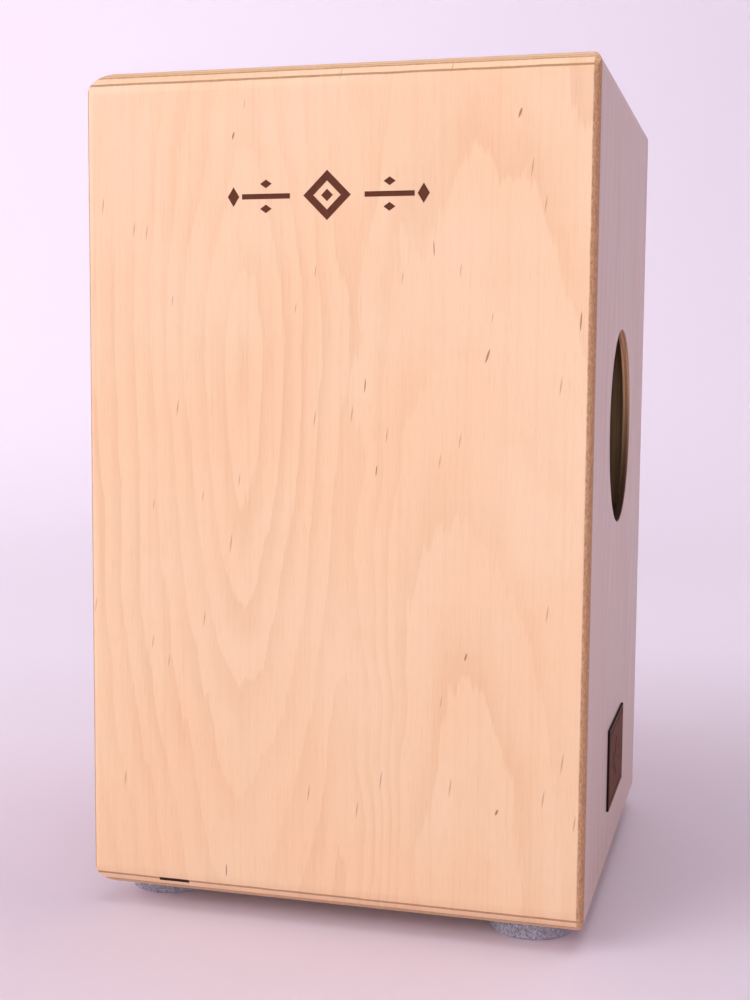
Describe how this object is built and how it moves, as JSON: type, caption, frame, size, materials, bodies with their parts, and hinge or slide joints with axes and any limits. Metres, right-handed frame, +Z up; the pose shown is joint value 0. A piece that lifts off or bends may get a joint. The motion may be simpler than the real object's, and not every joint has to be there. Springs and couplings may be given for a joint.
{
  "type": "cajon",
  "caption": "Upright plywood box drum with a glued playing panel, a round sound hole in one side, felt feet and a turning snare bar inside.",
  "frame": {"origin": "on the floor under the middle of the box, level with the undersides of the felt feet", "axes": "+Z up through the seat, -Y out of the playing panel, +X out of the side with the sound hole"},
  "size_m": [0.3015, 0.3, 0.5],
  "materials": {
    "front_veneer": "satin lacquer over rotary-cut birch veneer",
    "birch_ply": "satin lacquer over birch plywood",
    "pine": "planed, unfinished",
    "beech": "sanded, unfinished",
    "clip_plastic": "moulded, matt",
    "screw_steel": "zinc plated",
    "plate_steel": "nickel plated sheet",
    "strand_steel": "bright coiled wire",
    "felt": "pressed wool felt",
    "plaque": "dark brown, faintly streaked"
  },
  "bodies": {
    "box": {"playing_panel": "front_veneer", "back_panel": "birch_ply", "left_panel": "birch_ply", "right_panel": "birch_ply", "seat_board": "birch_ply", "bottom_board": "birch_ply", "batten_front_left": "pine", "batten_front_right": "pine", "batten_back_left": "pine", "batten_back_right": "pine", "bar_clip_left": "clip_plastic", "bar_clip_right": "clip_plastic", "clip_screws": "screw_steel", "foot_front_left": "felt", "foot_front_right": "felt", "foot_back_left": "felt", "foot_back_right": "felt", "side_plaque": "plaque"},
    "snare_unit": {"snare_bar": "beech", "snare_plate_left": "plate_steel", "snare_plate_right": "plate_steel", "snare_strands_left": "strand_steel", "snare_strands_right": "strand_steel", "plate_screws": "screw_steel"}
  },
  "joints": [
    {"name": "snare_bar_turn", "type": "hinge", "parent": "box", "child": "snare_unit", "pos_m": [0, -0.1348, 0.33], "axis": [-1, 0, 0], "range_deg": [0, 90]}
  ]
}
